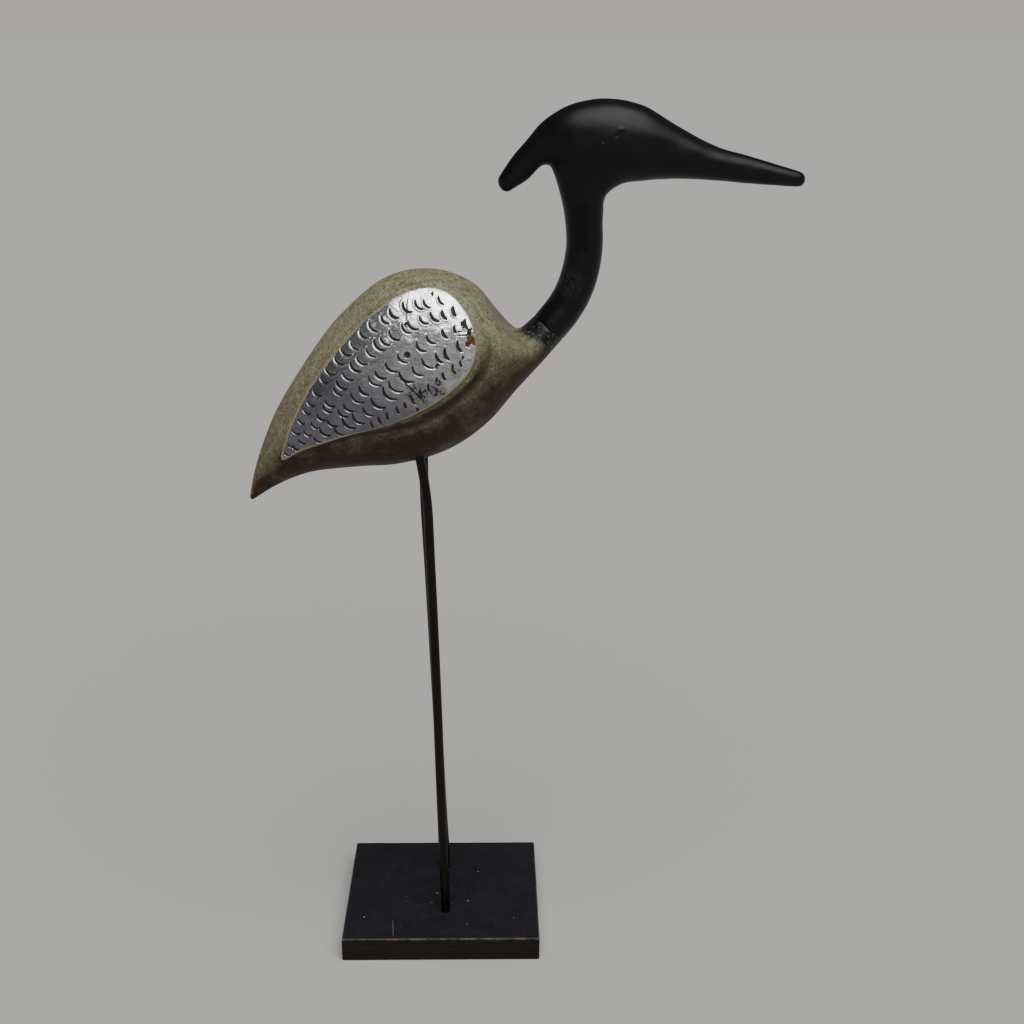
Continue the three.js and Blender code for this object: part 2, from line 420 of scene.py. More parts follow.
# %% Neck and head ribs
NECK_RIBS = [
    (56.6, 384.4, 72.2, 371.2, 14.2),
    (65.2, 395.6, 82.0, 383.9, 12.2),
    (70.8, 408.4, 90.2, 401.0, 10.8),
    (73.6, 424.0, 94.0, 421.0, 10.2),
    (72.2, 442.4, 94.0, 441.0, 10.0),
    (69.0, 456.4, 95.8, 452.6, 10.4),
    (65.4, 466.4, 104.5, 458.8, 11.2),
    (61.5, 474.0, 114.0, 466.0, 11.6),
]
HEAD_RIBS = [
    (35.8, 462.6, 41.6, 454.8, 4.6),
    (42.6, 472.8, 51.4, 461.0, 6.0),
    (51.0, 482.4, 60.6, 469.2, 7.2),
    (59.6, 492.2, 68.0, 467.0, 10.0),
    (74.6, 501.4, 78.0, 462.0, 14.2),
    (94.0, 504.9, 94.0, 459.4, 16.4),
    (114.6, 501.5, 113.0, 459.9, 15.4),
    (134.6, 490.3, 131.0, 461.6, 12.4),
    (155.6, 479.6, 153.0, 461.0, 9.0),
    (178.0, 473.1, 176.0, 459.1, 6.4),
    (203.4, 465.8, 202.4, 457.3, 4.2),
]
NECK_STEPS = 80
HEAD_STEPS = 150
HEAD_SIDES = 72
CREST_DOME = 3.6
BEAK_DOME = 4.8
HEAD_GROW = 0.3
HEAD_VOXEL = 0.8
HEAD_ROUNDS = 8

neck_rings = stations(NECK_RIBS, NECK_STEPS, HEAD_GROW)
neck_rings[0] = (neck_rings[0][0] - along_neck * JOINT_OVERLAP, *neck_rings[0][1:])
head_rings = stations(HEAD_RIBS, HEAD_STEPS, HEAD_GROW)
head_rings = domed(domed(head_rings, BEAK_DOME)[::-1], CREST_DOME)
head_bm = bmesh.new()
skin(head_bm, neck_rings, HEAD_SIDES)
skin(head_bm, head_rings, HEAD_SIDES)
head_bm = remeshed(head_bm, HEAD_VOXEL, HEAD_ROUNDS)
print("head skin", len(head_bm.faces), "faces")

# %% Ease the corner of the throat
THROAT = Vector((108, 458)) * MM
THROAT_REACH = 19
THROAT_ROUNDS = 70

near_throat = [v for v in head_bm.verts if (Vector((v.co.x, v.co.z)) - THROAT).length < THROAT_REACH * MM]
sand(head_bm, near_throat, THROAT_ROUNDS)
print(len(near_throat), "points eased at the throat")

# %% [markdown]
# ## Eyes
# The eye is only a small raised spot with a nick below it, made with the point of a knife. Both are
# smaller than a grain of rice, so they are pushed out of the skin instead of being pieces of their own.

# %% Eyes and knife marks
EYE = Vector((102.4, 0, 489.2)) * MM
EYE_RADIUS = 2.0
EYE_HEIGHT = 0.5
NICK = Vector((99.8, 0, 486.2)) * MM
NICK_RADIUS = 1.5
NICK_DEPTH = 0.5
HEAD_KNIFE_SIZE = 11
HEAD_KNIFE_DEPTH = 0.16


def bump(point, centre, radius):
    """1 at the centre seen from the side, falling smoothly to 0 at the radius in mm."""
    away = math.hypot(point.x - centre.x, point.z - centre.z) / MM
    return smooth_step(0, 1, 1 - away / radius)


head_bm.normal_update()
moves = []
for vert in head_bm.verts:
    lift = bump(vert.co, EYE, EYE_RADIUS) * EYE_HEIGHT - bump(vert.co, NICK, NICK_RADIUS) * NICK_DEPTH
    marks = knife_marks(vert.co, HEAD_KNIFE_SIZE, HEAD_KNIFE_DEPTH)
    moves.append(vert.normal * (lift * MM + marks))
for vert, move in zip(head_bm.verts, moves):
    vert.co += move
head = finish_mesh(head_bm, "carved_neck_and_head")
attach(head, "root")
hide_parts("neck_and_head")
print("head", len(head.data.polygons), "faces")

# %% [markdown]
# ## Legs
# Each leg is a metal rod bent by hand. It runs straight up from the plinth and bends back just under the
# belly. A circle is extruded step by step along the leg's curve, and the open start is filled, which
# leaves a bar that is closed at both ends.

# %% Rods
LEG_RADIUS = 2.8
LEG_SIDES = 24
LEG_STEPS = 60
LEG_POINTS = {
    "leg_right": [
        (2.6, -28.2, 4.5),
        (2.3, -27.6, 18),
        (0, -23.5, 89),
        (-2.0, -19.5, 158),
        (-5.0, -14.5, 241),
        (-6.7, -12.3, 277),
        (-10.7, -10.9, 303),
        (-14.5, -10.2, 318),
    ],
    "leg_left": [
        (1.3, 28.2, 4.5),
        (1.1, 27.7, 18),
        (-0.9, 25.0, 64),
        (-3.6, 20.7, 136),
        (-7.2, 15.3, 228),
        (-9.0, 12.8, 270),
        (-9.4, 11.3, 297),
        (-9.6, 10.4, 318),
    ],
}


def rod(points, radius, sides, steps):
    """A round bar along the points, extruded from a circle."""
    path = catmull(points, steps)
    bm = bmesh.new()
    forward = (path[1] - path[0]).normalized()
    place = Matrix.Translation(path[0] * MM) @ forward.to_track_quat("Z", "Y").to_matrix().to_4x4()
    made = bmesh.ops.create_circle(bm, cap_ends=True, segments=sides, radius=radius * MM, matrix=place)
    face = made["verts"][0].link_faces[0]
    for here, ahead in zip(path, path[1:]):
        turned = (ahead - here).normalized()
        grown = bmesh.ops.extrude_discrete_faces(bm, faces=[face])
        face = grown["faces"][0]
        bmesh.ops.translate(bm, verts=face.verts, vec=(ahead - here) * MM)
        turn = forward.rotation_difference(turned).to_matrix()
        bmesh.ops.rotate(bm, verts=face.verts, cent=ahead * MM, matrix=turn)
        forward = turned
    bmesh.ops.holes_fill(bm, edges=[e for e in bm.edges if e.is_boundary], sides=0)
    return bm


for name, points in LEG_POINTS.items():
    leg = finish_mesh(rod(points, LEG_RADIUS, LEG_SIDES, LEG_STEPS), "rod_" + name)
    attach(leg, "root")
    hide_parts(name)
    print(leg.name, len(leg.data.polygons), "faces")

# %% [markdown]
# ## Plinth
# The plinth is a square board with its edges rounded by sandpaper. A cube is bevelled and then divided
# into small faces, so that the edges can waver a little, as those of a board cut and sanded by hand do.
# Paint has gathered in a low ring round the foot of each rod.

# %% Plinth board
# The waver only takes wood away, and the underside stays flat, so the board stands as it did.
EDGE_RADIUS = 1.1
EDGE_SEGMENTS = 3
BOARD_CUTS = 118
LONG_EDGE = 10
WAVER_SIZE = 9
WAVER_DEPTH = 0.25
COLLAR_RADIUS = 3.7
COLLAR_WIDTH = 0.75
COLLAR_HEIGHT = 0.45
NEARLY_UPRIGHT = 0.99

low, high = (Vector(corner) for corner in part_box("base_plinth"))
board_bm = bmesh.new()
bmesh.ops.create_cube(board_bm, size=1)
bmesh.ops.scale(board_bm, verts=board_bm.verts, vec=high - low)
bmesh.ops.translate(board_bm, verts=board_bm.verts, vec=(high + low) / 2)
bmesh.ops.bevel(board_bm, geom=board_bm.edges, offset=EDGE_RADIUS * MM, affect="EDGES",
                segments=EDGE_SEGMENTS, profile=0.5, material=-1)
long_edges = [e for e in board_bm.edges if e.calc_length() > LONG_EDGE * MM]
bmesh.ops.subdivide_edges(board_bm, edges=long_edges, cuts=BOARD_CUTS, use_grid_fill=True)
board_bm.normal_update()
feet = [Vector(points[1]).xy for points in LEG_POINTS.values()]
moves = []
for vert in board_bm.verts:
    waver = (noise.noise(vert.co / (WAVER_SIZE * MM)) - 1) * WAVER_DEPTH / 2
    if vert.normal.z > NEARLY_UPRIGHT:
        for foot in feet:
            off = ((vert.co.xy / MM - foot).length - COLLAR_RADIUS) / COLLAR_WIDTH
            waver += COLLAR_HEIGHT * math.exp(-off * off)
    flat = vert.normal.z < -NEARLY_UPRIGHT
    moves.append(Vector() if flat else vert.normal * waver * MM)
for vert, move in zip(board_bm.verts, moves):
    vert.co += move
board = finish_mesh(board_bm, "plinth_board")
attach(board, "root")
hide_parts("base_plinth")
print("plinth", len(board.data.polygons), "faces")

# %% [markdown]
# ## Metal wing sheets
# A thin sheet of soft aluminium was cut to the wing's outline, pressed over the carved pad and tooled
# from the front with a curved punch, row after row, like the edges of feathers. Black paint was rubbed
# into the marks. The sheet is a fine grid that is trimmed to the outline. Each of its points gets a height
# from its distance to the punch marks, and then rays cast from the side lay the grid on the pad. The marks
# come first, as a list of arcs.

# %% Rows of punch marks
# Each row is a curve in the side view and a number of marks, from the tail to the shoulder. Each mark is
# the arc of a circle, so a row also has the radius of its first and of its full-sized marks. The last row
# follows the lower edge and has short, nearly straight cuts.
FEATHER_ROWS = [
    ([(-86.9, 306.8), (-76.0, 328.8), (-60.5, 355.4), (-39.5, 378.6), (-21.5, 390.6), (2.8, 397.0)],
     20, 2.6, 3.9),
    ([(-81.0, 310.6), (-65.3, 330.8), (-50.0, 354.4), (-32.0, 372.2), (-12.0, 384.0), (9.8, 391.2)],
     22, 2.6, 4.2),
    ([(-68.4, 316.6), (-46.9, 340.6), (-27.3, 359.6), (-7.3, 373.2), (16.2, 385.0)], 17, 3.4, 4.5),
    ([(-56.0, 322.2), (-35.3, 337.6), (-16.8, 354.6), (12.6, 372.8)], 13, 4.4, 5.4),
]
CUT_ROW = [(-36.4, 328.0), (-16.0, 340.6), (13.8, 363.6)]
CUT_COUNT = 12
ROW_STEPS = 200
ROW_WANDER = 0.18
RANDOM_SEED = 7
chance = random.Random(RANDOM_SEED)


def along_row(points, count):
    """count points at nearly even steps along the curve through the points."""
    dense = catmull(points, ROW_STEPS)
    lengths = [0.0]
    for before, after in zip(dense, dense[1:]):
        lengths.append(lengths[-1] + (after - before).length)
    for i in range(count):
        wander = chance.uniform(-ROW_WANDER, ROW_WANDER) if 0 < i < count - 1 else 0
        goal = (i + wander) / (count - 1) * lengths[-1]
        k = min(range(len(lengths)), key=lambda j: abs(lengths[j] - goal))
        yield dense[k]


def arc_mark(middle_point, radius, facing, half, stroke):
    """A punch mark: its circle's centre and radius, where its arc lies in degrees, and half its stroke."""
    angle = math.radians(facing)
    centre = middle_point - Vector((math.cos(angle), math.sin(angle))) * radius
    return {"place": middle_point, "centre": centre, "radius": radius, "middle": angle,
            "half": math.radians(half), "wide": stroke}


# %% The marks, one by one
# A mark of a row faces back and down. It is small at the tail, and from TAIL_X to FULL_X it grows. From
# SHOULDER_X to FRONT_X it is shorter, steeper and struck harder. Every blow of the punch is a little off.
# A mark's facing and half its arc in degrees, and half its stroke in mm, have three numbers each: at the
# tail, the change up to full size and the change at the front.
TAIL_X = -88
FULL_X = -42
SHOULDER_X = -8
FRONT_X = 10
FACING = (248, -16, -32)
HALF_ARC = (62, -6, -22)
HALF_STROKE = (0.60, 0.16, 0.10)
OFF_PLACE = 0.4
RADIUS_SPREAD = (0.92, 1.12)
FACING_SPREAD = (-7, 7)
ARC_SPREAD = (-8, 5)
STROKE_SPREAD = (0.8, 1.2)


def here(numbers, grown, steep):
    """A number of a mark that is grown and steep to these shares."""
    at_tail, by_growth, at_front = numbers
    return at_tail + by_growth * grown + at_front * steep


marks = []
for points, count, first_radius, full_radius in FEATHER_ROWS:
    for place in along_row(points, count):
        grown = smooth_step(TAIL_X, FULL_X, place.x)
        steep = smooth_step(SHOULDER_X, FRONT_X, place.x)
        off_place = Vector((chance.uniform(-OFF_PLACE, OFF_PLACE), chance.uniform(-OFF_PLACE, OFF_PLACE)))
        radius = first_radius + (full_radius - first_radius) * grown
        marks.append(arc_mark(
            place + off_place,
            radius * chance.uniform(*RADIUS_SPREAD),
            here(FACING, grown, steep) + chance.uniform(*FACING_SPREAD),
            here(HALF_ARC, grown, steep) + chance.uniform(*ARC_SPREAD),
            here(HALF_STROKE, grown, steep) * chance.uniform(*STROKE_SPREAD)))
print(len(marks), "punch marks in rows")

# %% The short cuts along the lower edge
CUT_RADIUS = 5.0
CUT_FACING = 199
CUT_FACING_SPREAD = (-8, 8)
CUT_HALF_ARC = 28
CUT_ARC_SPREAD = (-7, 9)
CUT_HALF_STROKE = (0.55, 0.80)

for place in along_row(CUT_ROW, CUT_COUNT):
    marks.append(arc_mark(
        place,
        CUT_RADIUS,
        CUT_FACING + chance.uniform(*CUT_FACING_SPREAD),
        CUT_HALF_ARC + chance.uniform(*CUT_ARC_SPREAD),
        chance.uniform(*CUT_HALF_STROKE)))
print(len(marks), "punch marks")

# %% [markdown]
# ## Wear on the metal
# A sheet this thin creases where it is pressed round the shoulder. One round tool mark sits in the middle,
# black paint has run into blots, and the front edge has torn and rusted. Such wear follows no rule, so it
# is a list of places read from the real sheet, and noise gives each place its ragged edge.

# %% Folds and the dimple
# A fold is its start, its end, its height and how much black paint lies in it.
FOLDS = [
    ((-15.8, 401.0), (-16.4, 385.4), 0.24, 0.5),
    ((-18.7, 354.5), (-4.7, 339.7), 0.44, 1.0),
    ((-13.2, 353.9), (-6.5, 340.2), 0.40, 1.0),
    ((-3.2, 351.6), (4.1, 345.2), 0.40, 0.9),
    ((11.6, 379.0), (20.4, 379.3), 0.40, 0.9),
]
FOLD_WOBBLE = 0.6
FOLD_WOBBLE_SIZE = 2.6
FOLD_LAYER = 9
DIMPLE = Vector((-15.7, 368.6))
DIMPLE_RADIUS = 2.5
NO_MARK_NEAR_DIMPLE = 3.4


def patch_noise(place, layer, size):
    """Noise of that size in mm at a point of the side view. Each layer number is a pattern of its own."""
    return noise.noise(Vector((place.x, place.y, layer)) / size)


def fold_offset(point, start, end):
    """Signed distance in mm from a point to a fold that wobbles, and how far along the fold it is."""
    start, end = Vector(start), Vector(end)
    line = end - start
    share = max(0.0, min(1.0, (point - start).dot(line) / line.length_squared))
    away = point - start - line * share
    side = math.copysign(away.length, line.x * away.y - line.y * away.x)
    return side + FOLD_WOBBLE * patch_noise(point, FOLD_LAYER, FOLD_WOBBLE_SIZE), share


marks = [mark for mark in marks if (mark["place"] - DIMPLE).length > NO_MARK_NEAR_DIMPLE]
print(len(marks), "punch marks left beside the dimple")

# %% Stains
# A blot or a scuffed place is its middle and its radius in millimetres.
BLOTS = [
    ((1.1, 362.8), 1.7),
    ((19.0, 381.4), 2.6),
    ((15.6, 385.5), 1.7),
    ((15.3, 366.6), 1.5),
    ((-1.5, 400.6), 1.3),
    ((-16.1, 384.7), 1.5),
    ((-10.8, 337.4), 1.6),
]
SCUFFED = [
    ((-10.0, 346.5), 9.5),
    ((1.0, 349.0), 8.0),
    ((11.5, 358.0), 5.0),
    ((15.5, 382.0), 5.0),
]
BLOT_EDGE = (0.5, 0.85)
BLOT_FRAY = 0.9
SCUFF_EDGE = (0.45, 1.0)
FRAY_SIZE = 0.9
FRAY_LAYER = 3
GRIME_SIZE = 1.7
GRIME_LAYER = 4
GRIME_FRAY = 0.7
GRIME_LEVEL = (0.05, 0.55)
GRIME_BLACK = 0.62
GREY_BLACK = 0.30
GREY_BELOW_Z = (366, 372)
GOLD_SIZE = 2.4
GOLD_LAYER = 5
GOLD_LEVEL = (0.12, 0.42)
GOLD_BELOW_Z = (364, 370)


def stains(place):
    """(black, golden) shares: residue in the scuffed places and blots, the scuffed places also greyer low
    down, each from 0 to 1.
    """
    fray = patch_noise(place, FRAY_LAYER, FRAY_SIZE)
    grime = patch_noise(place, GRIME_LAYER, GRIME_SIZE) + fray * GRIME_FRAY
    gold = patch_noise(place, GOLD_LAYER, GOLD_SIZE)
    scuffed = max(1 - smooth_step(*SCUFF_EDGE, (place - Vector(spot)).length / reach)
                  for spot, reach in SCUFFED)
    blot = max(1 - smooth_step(*BLOT_EDGE, (place - Vector(spot)).length / reach + fray * BLOT_FRAY)
               for spot, reach in BLOTS)
    black = scuffed * GRIME_BLACK * smooth_step(*GRIME_LEVEL, grime)
    # Lower down, the scuffed places are also darkened grey.
    black = max(black, blot, GREY_BLACK * scuffed * (1 - smooth_step(*GREY_BELOW_Z, place.y)))
    return black, scuffed * smooth_step(*GOLD_LEVEL, gold) * (1 - smooth_step(*GOLD_BELOW_Z, place.y))


# %% [markdown]
# ## Cut, punch and lay the sheet
# The tinsmith cuts the outline, punches the marks and presses the sheet on the pad. The grid goes through
# the same three steps. Its cells are about a quarter of a millimetre wide, because a groove is only about
# one millimetre wide and has to be real relief. The layers "ink", "green" and "rust" tell the finish where
# paint and rust lie.

# %% The sheet's grid, trimmed to the outline
SHEET_CELL = 0.27
RIM_STEPS = 1600
KEEP_MARGIN = 0.16
MERGE_DISTANCE = 0.02


def sheet_grid():
    """A flat grid in the X and Z of the wing, trimmed to the outline."""
    xs = [p.x for p in outline]
    zs = [p.y for p in outline]
    wide, tall = max(xs) - min(xs) + 2, max(zs) - min(zs) + 2
    bm = bmesh.new()
    bmesh.ops.create_grid(bm, x_segments=int(wide / SHEET_CELL), y_segments=int(tall / SHEET_CELL), size=0.5)
    bmesh.ops.scale(bm, verts=bm.verts, vec=(wide, tall, 1))
    bmesh.ops.translate(bm, verts=bm.verts, vec=((max(xs) + min(xs)) / 2, (max(zs) + min(zs)) / 2, 0))
    outside = [v for v in bm.verts if wing_distance(v.co.x, v.co.y) < -KEEP_MARGIN]
    bmesh.ops.delete(bm, geom=outside, context="VERTS")
    lone = [v for v in bm.verts if len(v.link_faces) == 0]
    bmesh.ops.delete(bm, geom=lone, context="VERTS")
    rim = closed_curve(SHEET_OUTLINE, RIM_STEPS)
    rim_tree = KDTree(len(rim))
    for i, point in enumerate(rim):
        rim_tree.insert(point.to_3d(), i)
    rim_tree.balance()
    for vert in [v for v in bm.verts if v.is_boundary]:
        vert.co = rim_tree.find(vert.co)[0]
    bmesh.ops.remove_doubles(bm, verts=bm.verts, dist=MERGE_DISTANCE)
    return bm


# %% Punch one mark
MARK_REACH = 2.2
GROOVE_DEPTH = 0.32
LIP_HEIGHT = 0.44
LIP_OFFSET = 0.55
LIP_WIDTH = 0.34
BELLY_HEIGHT = 0.16
BELLY_REACH = 0.95
TAPER = 0.6
GROOVE_WALL = (0.4, 1.4)
PAINT_EDGE = (0.75, 1.15)


def punch(mark, points, tree, heights, ink):
    """Presses one mark: a groove with paint in it, a lip pushed up outside it and a low belly inside."""
    centre = mark["centre"].to_3d()
    for co, i, _ in tree.find_range(centre, mark["radius"] + MARK_REACH):
        away = co - centre
        turn = math.atan2(away.y, away.x) % math.tau - mark["middle"]
        turn = abs((turn + math.pi) % math.tau - math.pi)
        share = min(1.0, turn / mark["half"])
        off = away.length - mark["radius"]
        beyond = max(0.0, turn - mark["half"]) * mark["radius"]
        off = math.copysign(math.hypot(off, beyond), off)
        thick = mark["wide"] * (1 - TAPER * share**3)
        groove = 1 - smooth_step(*GROOVE_WALL, abs(off) / thick)
        lip = bell(off - thick - LIP_OFFSET, LIP_WIDTH) * (1 - share**2 * TAPER)
        belly = (1 - smooth_step(0, mark["radius"] * BELLY_REACH, -off)) * (off < 0) * (1 - share**2)
        vert = points[i]
        heights[vert] += -GROOVE_DEPTH * groove + LIP_HEIGHT * lip + BELLY_HEIGHT * belly * (1 - groove)
        vert[ink] = max(vert[ink], 1 - smooth_step(*PAINT_EDGE, abs(off) / thick))


# %% Crease one point
FOLD_STROKE = 0.34
FOLD_RIDGE = 0.95
RIDGE_WIDTH = 0.5
ENDS_FADE = (0.08, 0.92)


def crease(vert, heights, ink):
    """Presses the folds at one point: a sharp valley with paint in it, and a ridge along its side."""
    for start, end, height, black_share in FOLDS:
        away, share = fold_offset(vert.co.xy, start, end)
        if abs(away) < FOLD_RIDGE * 3:
            fade = math.sin(math.pi * (ENDS_FADE[0] * (1 - share) + ENDS_FADE[1] * share))
            heights[vert] += height * fade * bell(away - FOLD_RIDGE, RIDGE_WIDTH)
            heights[vert] -= height * fade * bell(away, FOLD_STROKE)
            vert[ink] = max(vert[ink], black_share * fade * bell(away, FOLD_STROKE))


# %% Wear one point
# Green paint reaches over the edge by COVER mm, and further at the tail and along the lower front edge.
DIMPLE_DEPTH = 0.35
DIMPLE_WALL = (0.2, 1.0)
DIMPLE_INK = (0.60, 0.85)
TORN_SPOT = Vector((20.2, 375.6))
TORN_RADIUS = 4.3
TORN_SQUASH = 0.7
TORN_FRAY = 0.6
TORN_EDGE = (0.40, 0.72)
TORN_DEPTH = 0.3
SMEAR_SIZE = 1.9
TIP = (1.5, 4.5)
TIP_FRAY = 1.5
LOW_EDGE_X = (-22, -8)
LOW_EDGE_Z = (361, 366)
TAIL_EDGE_X = (-30, -66)
COVER = 0.2
COVER_TAIL = 0.9
COVER_LOW = 0.7
COVER_FRAY = 0.4
COVER_SOFT = (0.4, 0.5)
GOLD_SHARE = 0.7


def wear(vert, heights, ink, green, rust):
    """The dimple, the stains, the torn spot and the green paint smeared over the sheet's edge."""
    place = vert.co.xy
    dent = (place - DIMPLE).length / DIMPLE_RADIUS
    heights[vert] -= DIMPLE_DEPTH * (1 - smooth_step(*DIMPLE_WALL, dent))
    black, golden = stains(place)
    vert[ink] = max(vert[ink], black, 1 - smooth_step(*DIMPLE_INK, dent))
    rough = patch_noise(place, FRAY_LAYER, SMEAR_SIZE)
    torn = math.hypot(place.x - TORN_SPOT.x, (place.y - TORN_SPOT.y) * TORN_SQUASH) / TORN_RADIUS
    vert[rust] = 1 - smooth_step(*TORN_EDGE, torn + rough * TORN_FRAY)
    heights[vert] -= TORN_DEPTH * vert[rust]
    tip = 1 - smooth_step(*TIP, (place - outline[0]).length + rough * TIP_FRAY)
    tail_edge = smooth_step(*TAIL_EDGE_X, place.x)
    low_edge = smooth_step(*LOW_EDGE_X, place.x) * (1 - smooth_step(*LOW_EDGE_Z, place.y))
    cover = COVER + COVER_TAIL * tail_edge + rough * COVER_FRAY + low_edge * COVER_LOW
    bare = smooth_step(cover - COVER_SOFT[0], cover + COVER_SOFT[1], wing_distance(*place))
    vert[green] = max(1 - bare, tip, golden * GOLD_SHARE)


# %% Press the whole sheet
# The deepest groove stays above the pad below it, and the relief fades to a seventh at the edge.
CRUMPLE_SIZE = 7
CRUMPLE_DEPTH = 0.32
WRINKLE_SIZE = 2.0
WRINKLE_DEPTH = 0.07
WRINKLE_LAYER = 20
DEEPEST = -0.58
RELIEF_AT_EDGE = 0.15


def press(bm):
    """The height in mm of every point of the flat sheet, which also gets its ink, green and rust."""
    ink = bm.verts.layers.float.new("ink")
    green = bm.verts.layers.float.new("green")
    rust = bm.verts.layers.float.new("rust")
    points = list(bm.verts)
    tree = KDTree(len(points))
    heights = {}
    for i, vert in enumerate(points):
        wide = patch_noise(vert.co, 0, CRUMPLE_SIZE)
        fine = patch_noise(vert.co, WRINKLE_LAYER, WRINKLE_SIZE)
        heights[vert] = CRUMPLE_DEPTH * wide + WRINKLE_DEPTH * fine
        tree.insert(vert.co, i)
    tree.balance()
    for mark in marks:
        punch(mark, points, tree, heights, ink)
    for vert in points:
        crease(vert, heights, ink)
        wear(vert, heights, ink, green, rust)
        inner = smooth_step(0.0, 1.0, wing_distance(*vert.co.xy))
        heights[vert] *= RELIEF_AT_EDGE + (1 - RELIEF_AT_EDGE) * inner
        heights[vert] = max(DEEPEST, heights[vert])
    return heights


# %% Lay the sheet on the pad and close its back
# Rays from the side find the pad's surface, grown by its own height and the sheet's. The sheet's rim is
# then folded back into the pad, so that no gap shows under it.
SHEET_LIFT = 0.90
RIM_DEPTH = 1.1
RAY_START_Y = -0.1

pad_bm = bmesh.new()
skin(pad_bm, body_rings(PAD_HEIGHT + SHEET_LIFT), BODY_SIDES)
bmesh.ops.recalc_face_normals(pad_bm, faces=pad_bm.faces)
pad_tree = BVHTree.FromBMesh(pad_bm)
pad_bm.free()


def wing_sheet():
    """The right wing's sheet in its place, closed behind."""
    bm = sheet_grid()
    heights = press(bm)
    for vert in bm.verts:
        start = Vector((vert.co.x * MM, RAY_START_Y, vert.co.y * MM))
        hit, normal, _, _ = pad_tree.ray_cast(start, Vector((0, 1, 0)))
        marks_here = knife_marks(hit, KNIFE_SIZE, KNIFE_DEPTH)
        vert.co = hit + normal * (heights[vert] * MM + marks_here)
    rim = [e for e in bm.edges if e.is_boundary]
    for edge in rim:
        edge.smooth = False
    folded = bmesh.ops.extrude_edge_only(bm, edges=rim)["geom"]
    bmesh.ops.translate(bm, verts=[g for g in folded if isinstance(g, bmesh.types.BMVert)],
                        vec=(0, RIM_DEPTH * MM, 0))
    bmesh.ops.holes_fill(bm, edges=[e for e in bm.edges if e.is_boundary], sides=0)
    bmesh.ops.triangulate(bm, faces=[f for f in bm.faces if len(f.verts) > 4])
    return bm


right_bm = wing_sheet()
left_bm = right_bm.copy()
bmesh.ops.scale(left_bm, verts=left_bm.verts, vec=(1, -1, 1))
sheets = {}
for side, bm in (("right", right_bm), ("left", left_bm)):
    sheet = finish_mesh(bm, "embossed_sheet_" + side)
    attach(sheet, "root")
    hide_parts("wing_sheet_" + side)
    sheets[side] = sheet
    print(sheet.name, len(sheet.data.polygons), "faces")

# %% [markdown]
# ## Helpers for finishes
# Every finish is a small tree of nodes. One function turns a colour as it is read in a picture into the
# linear values that the shader wants, and one adds a node. A coat of paint is then always made in the same
# two steps: a mask says where it lies, and the new colour is laid over what is under it.

# %% Colour and nodes
def linear(code):
    """A linear colour from an sRGB hex string such as "a0a0a0"."""
    values = [int(code[i:i + 2], 16) / 255 for i in (0, 2, 4)]
    return (*[v / 12.92 if v <= 0.04045 else ((v + 0.055) / 1.055) ** 2.4 for v in values], 1)


def add(tree, kind, inputs, out=0, **settings):
    """Adds a node with its settings, gives its inputs values or links, and returns one of its outputs."""
    made = tree.nodes.new("ShaderNode" + kind)
    for key, value in settings.items():
        setattr(made, key, value)
    for key, value in inputs.items():
        if isinstance(value, bpy.types.NodeSocket):
            tree.links.new(value, made.inputs[key])
        else:
            made.inputs[key].default_value = value
    return made.outputs if out is None else made.outputs[out]


def new_finish(name):
    """A material without nodes as yet: (material, tree, object coordinates)."""
    material = bpy.data.materials.new(name)
    material.use_nodes = True
    tree = material.node_tree
    tree.nodes.clear()
    return material, tree, add(tree, "TexCoord", {}, out="Object")


def set_surface(tree, inputs):
    """Gives the finish to a surface shader and shows it."""
    surface = add(tree, "BsdfPrincipled", inputs)
    add(tree, "OutputMaterial", {"Surface": surface}, out=None)


# %% Masks, coats and strokes
FINE_DETAIL = 2
EVEN = 0.55


def mask(tree, *limits):
    """1 where each of the values has passed from its low to its high limit, and 0 elsewhere."""
    share = None
    for value, low, high in limits:
        passed = add(tree, "MapRange", {"Value": value, "From Min": low, "From Max": high})
        share = passed if share is None else add(tree, "Math", {0: share, 1: passed}, operation="MULTIPLY")
    return share


def paint_over(tree, under, over, share, most=1.0):
    """One colour over another where the share says so, covering at most that much."""
    cover = add(tree, "Math", {0: share, 1: most}, operation="MULTIPLY")
    return add(tree, "Mix", {0: cover, 6: under, 7: over}, out=2, data_type="RGBA")


def stretched(tree, place, turn_degrees, long_mm, short_mm):
    """Noise drawn out along a line in the side view, as bristles or grain are."""
    turned = add(tree, "Mapping", {"Vector": place, "Rotation": (0, math.radians(turn_degrees), 0)})
    drawn = add(tree, "Mapping", {"Vector": turned, "Scale": (short_mm / long_mm, 1, 1)})
    return add(tree, "TexNoise", {"Vector": drawn, "Scale": 1 / (short_mm * MM), "Detail": FINE_DETAIL,
                                  "Roughness": EVEN})


# %% [markdown]
# ## Green paint on the body
# The body is painted khaki green by hand, in thin coats that let the brown ground show. It turns brown
# where the wood faces down, partly brown paint and partly painted shade, so it is lightest on the back. It
# is brown at the tail, and painted shade darkens the front of the body and the gouged valley. The black of
# the neck is brushed out over it at the foot of the neck, with a few pale dry strokes. Satin paint on wood
# scatters light broadly. Every pattern has its size in millimetres. A bristle's line and the grit in the
# paint are finer than a pixel of the picture, so both are drawn 1.1 mm wide, as coarse as they need to be
# to show.

# %% Coats of green and brown
BLOTCH = 13
DAB = 3.2
GRIT = 1.1
BRISTLES = (-50, 22, 1.1)
SHADED_FRONT_X = (18 * MM, 50 * MM)
TAIL_TIP_X = (-70 * MM, -108 * MM)
UNDERSIDE_SHADE_NORMAL_Z = (0.10, -0.50)
TAIL_BROWN = 0.42


